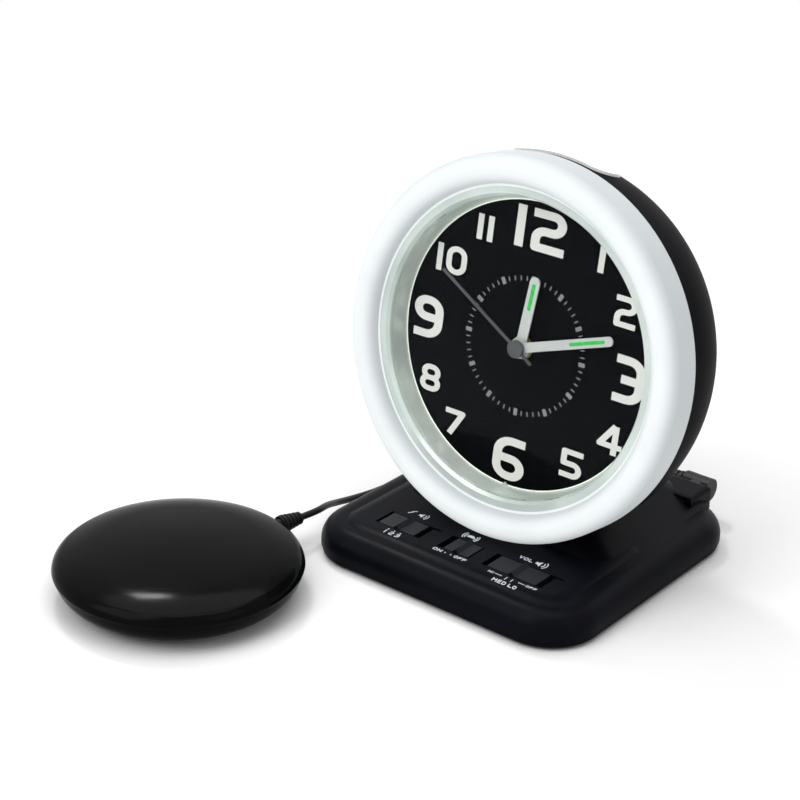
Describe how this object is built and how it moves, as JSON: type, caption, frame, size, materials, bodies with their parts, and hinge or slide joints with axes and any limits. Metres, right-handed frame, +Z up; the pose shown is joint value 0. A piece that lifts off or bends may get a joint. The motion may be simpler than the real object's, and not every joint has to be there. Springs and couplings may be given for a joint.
{
  "type": "bed shaker alarm clock",
  "caption": "Bed shaker alarm clock: round tilted analog head with a glowing rim on a low square base with slide switches, and a corded round vibrating pad.",
  "frame": {"origin": "on the floor under the middle of the square base", "axes": "+Z up, the dial faces -Y, +X to the viewer's right; the head leans back 8 degrees"},
  "size_m": [0.188, 0.273, 0.1538],
  "materials": {
    "case_shell": "fine satin black",
    "rear_cover": "fine satin black",
    "rear_cover_screws": "plain",
    "light_ring": "frosted white, lit from behind",
    "led_board": "solder mask",
    "leds": "white diode bodies",
    "inner_bezel": "clear silvery plastic",
    "front_lens": "clear",
    "chapter_ring": "clear silvery plastic",
    "dial": "matt black",
    "hour_hand": "satin",
    "minute_hand": "satin",
    "second_hand": "satin",
    "alarm_hand": "satin olive yellow",
    "movement_plate": "moulded",
    "movement_back": "moulded",
    "movement_screws": "plated",
    "alarm_wheel": "moulded gear plastic",
    "alarm_stem": "moulded gear plastic",
    "hour_wheel": "moulded gear plastic",
    "minute_arbor": "moulded gear plastic",
    "minute_wheel": "moulded gear plastic",
    "setting_stem": "moulded gear plastic",
    "third_wheel": "moulded gear plastic",
    "second_arbor": "turned",
    "intermediate_wheel": "moulded gear plastic",
    "rotor": "ferrite",
    "stator": "plain",
    "motor_coil": "wound copper wire",
    "time_set_knob": "fine satin black",
    "alarm_set_knob": "fine satin black",
    "battery_cell": "plain sleeve",
    "battery_contacts": "plated",
    "battery_door": "fine satin black",
    "speaker": "ferrite",
    "snooze_button": "satin white",
    "snooze_switch": "moulded",
    "snooze_plunger": "moulded gear plastic",
    "base_shell": "fine satin black",
    "base_plate": "fine satin black",
    "base_screws": "plain",
    "rubber_feet": "matt",
    "main_board": "solder mask",
    "alarm_switch_cap": "satin",
    "shake_switch_cap": "satin",
    "volume_switch_cap": "satin",
    "switch_bodies": "plated",
    "shaker_jack": "moulded",
    "power_inlet": "moulded",
    "neck_screws": "plated",
    "pad_top_shell": "satin gloss",
    "pad_bottom_shell": "satin gloss",
    "pad_screws": "plain",
    "pad_motor": "plated",
    "pad_weight": "turned",
    "pad_strain_relief": "smooth sheath",
    "cord_pad_run": "smooth sheath",
    "cord_coil": "smooth sheath",
    "cord_plug_run": "smooth sheath",
    "cord_plug": "smooth sheath"
  },
  "bodies": {
    "clock": {"case_shell": "case_shell", "rear_cover": "rear_cover", "rear_cover_screws": "rear_cover_screws", "light_ring": "light_ring", "led_board": "led_board", "leds": "leds", "inner_bezel": "inner_bezel", "front_lens": "front_lens", "chapter_ring": "chapter_ring", "dial": "dial", "movement_plate": "movement_plate", "movement_back": "movement_back", "movement_screws": "movement_screws", "stator": "stator", "motor_coil": "motor_coil", "battery_cell": "battery_cell", "battery_contacts": "battery_contacts", "speaker": "speaker", "snooze_switch": "snooze_switch", "base_shell": "base_shell", "base_plate": "base_plate", "base_screws": "base_screws", "rubber_feet": "rubber_feet", "main_board": "main_board", "switch_bodies": "switch_bodies", "shaker_jack": "shaker_jack", "power_inlet": "power_inlet", "neck_screws": "neck_screws", "pad_top_shell": "pad_top_shell", "pad_bottom_shell": "pad_bottom_shell", "pad_screws": "pad_screws", "pad_motor": "pad_motor", "pad_strain_relief": "pad_strain_relief", "cord_pad_run": "cord_pad_run", "cord_coil": "cord_coil", "cord_plug_run": "cord_plug_run", "cord_plug": "cord_plug"},
    "second": {"second_hand": "second_hand", "second_arbor": "second_arbor"},
    "minute": {"minute_hand": "minute_hand", "minute_arbor": "minute_arbor"},
    "hour": {"hour_hand": "hour_hand", "hour_wheel": "hour_wheel"},
    "minute_wheel": {"minute_wheel": "minute_wheel"},
    "third_wheel": {"third_wheel": "third_wheel"},
    "intermediate": {"intermediate_wheel": "intermediate_wheel"},
    "rotor": {"rotor": "rotor"},
    "time_setting": {"setting_stem": "setting_stem", "time_set_knob": "time_set_knob"},
    "alarm": {"alarm_hand": "alarm_hand", "alarm_wheel": "alarm_wheel"},
    "alarm_setting": {"alarm_stem": "alarm_stem", "alarm_set_knob": "alarm_set_knob"},
    "battery_door": {"battery_door": "battery_door"},
    "snooze": {"snooze_button": "snooze_button", "snooze_plunger": "snooze_plunger"},
    "alarm_switch": {"alarm_switch_cap": "alarm_switch_cap"},
    "shake_switch": {"shake_switch_cap": "shake_switch_cap"},
    "volume_switch": {"volume_switch_cap": "volume_switch_cap"},
    "pad_weight": {"pad_weight": "pad_weight"}
  },
  "joints": [
    {"name": "second_hand_turn", "type": "hinge", "parent": "clock", "child": "second", "pos_m": [0, -0.00525, 0.0831], "axis": [0, 0.9903, -0.1392], "continuous": true},
    {"name": "minute_hand_turn", "type": "hinge", "parent": "clock", "child": "minute", "pos_m": [0, -0.00525, 0.0831], "axis": [0, 0.9903, -0.1392], "continuous": true},
    {"name": "hour_hand_turn", "type": "hinge", "parent": "clock", "child": "hour", "pos_m": [0, -0.00525, 0.0831], "axis": [0, 0.9903, -0.1392], "continuous": true},
    {"name": "minute_wheel_turn", "type": "hinge", "parent": "clock", "child": "minute_wheel", "pos_m": [0.006, -0.00525, 0.0831], "axis": [0, 0.9903, -0.1392], "continuous": true},
    {"name": "third_wheel_turn", "type": "hinge", "parent": "clock", "child": "third_wheel", "pos_m": [0, -0.00407, 0.09152], "axis": [0, 0.9903, -0.1392], "continuous": true},
    {"name": "intermediate_turn", "type": "hinge", "parent": "clock", "child": "intermediate", "pos_m": [-0.00287, -0.00635, 0.07528], "axis": [0, 0.9903, -0.1392], "continuous": true},
    {"name": "rotor_turn", "type": "hinge", "parent": "clock", "child": "rotor", "pos_m": [0.00013, -0.00707, 0.07014], "axis": [0, 0.9903, -0.1392], "continuous": true},
    {"name": "time_setting_turn", "type": "hinge", "parent": "clock", "child": "time_setting", "pos_m": [0.0123, -0.00525, 0.0831], "axis": [0, 0.9903, -0.1392], "continuous": true},
    {"name": "alarm_hand_turn", "type": "hinge", "parent": "clock", "child": "alarm", "pos_m": [0, -0.00525, 0.0831], "axis": [0, 0.9903, -0.1392], "continuous": true},
    {"name": "alarm_setting_turn", "type": "hinge", "parent": "clock", "child": "alarm_setting", "pos_m": [-0.009, -0.00525, 0.0831], "axis": [0, 0.9903, -0.1392], "continuous": true},
    {"name": "battery_door_hinge", "type": "hinge", "parent": "clock", "child": "battery_door", "pos_m": [0, 0.0311, 0.04568], "axis": [-1, 0, 0], "range_deg": [0, 95]},
    {"name": "snooze_press", "type": "slide", "parent": "clock", "child": "snooze", "axis": [0, -0.1392, -0.9903], "range_m": [0, 0.001], "stiffness_N_per_m": 300, "springref_m": -0.002},
    {"name": "alarm_switch_slide", "type": "slide", "parent": "clock", "child": "alarm_switch", "axis": [1, 0, 0], "range_m": [-0.0008, 0.0024]},
    {"name": "shake_switch_slide", "type": "slide", "parent": "clock", "child": "shake_switch", "axis": [1, 0, 0], "range_m": [-0.0022, 0.0006]},
    {"name": "volume_switch_slide", "type": "slide", "parent": "clock", "child": "volume_switch", "axis": [1, 0, 0], "range_m": [-0.0018, 0.0024]},
    {"name": "pad_weight_spin", "type": "hinge", "parent": "clock", "child": "pad_weight", "pos_m": [-0.073, -0.108, 0.0076], "axis": [1, 0, 0], "continuous": true}
  ],
  "couplings": [
    {"joint": "minute_hand_turn", "follows": "second_hand_turn", "ratio": 0.016667},
    {"joint": "hour_hand_turn", "follows": "second_hand_turn", "ratio": 0.0013889},
    {"joint": "minute_wheel_turn", "follows": "second_hand_turn", "ratio": -0.0055556},
    {"joint": "third_wheel_turn", "follows": "second_hand_turn", "ratio": -0.13333},
    {"joint": "intermediate_turn", "follows": "second_hand_turn", "ratio": -6},
    {"joint": "rotor_turn", "follows": "second_hand_turn", "ratio": 30},
    {"joint": "time_setting_turn", "follows": "second_hand_turn", "ratio": 0.013889},
    {"joint": "alarm_setting_turn", "follows": "alarm_hand_turn", "ratio": -1}
  ]
}
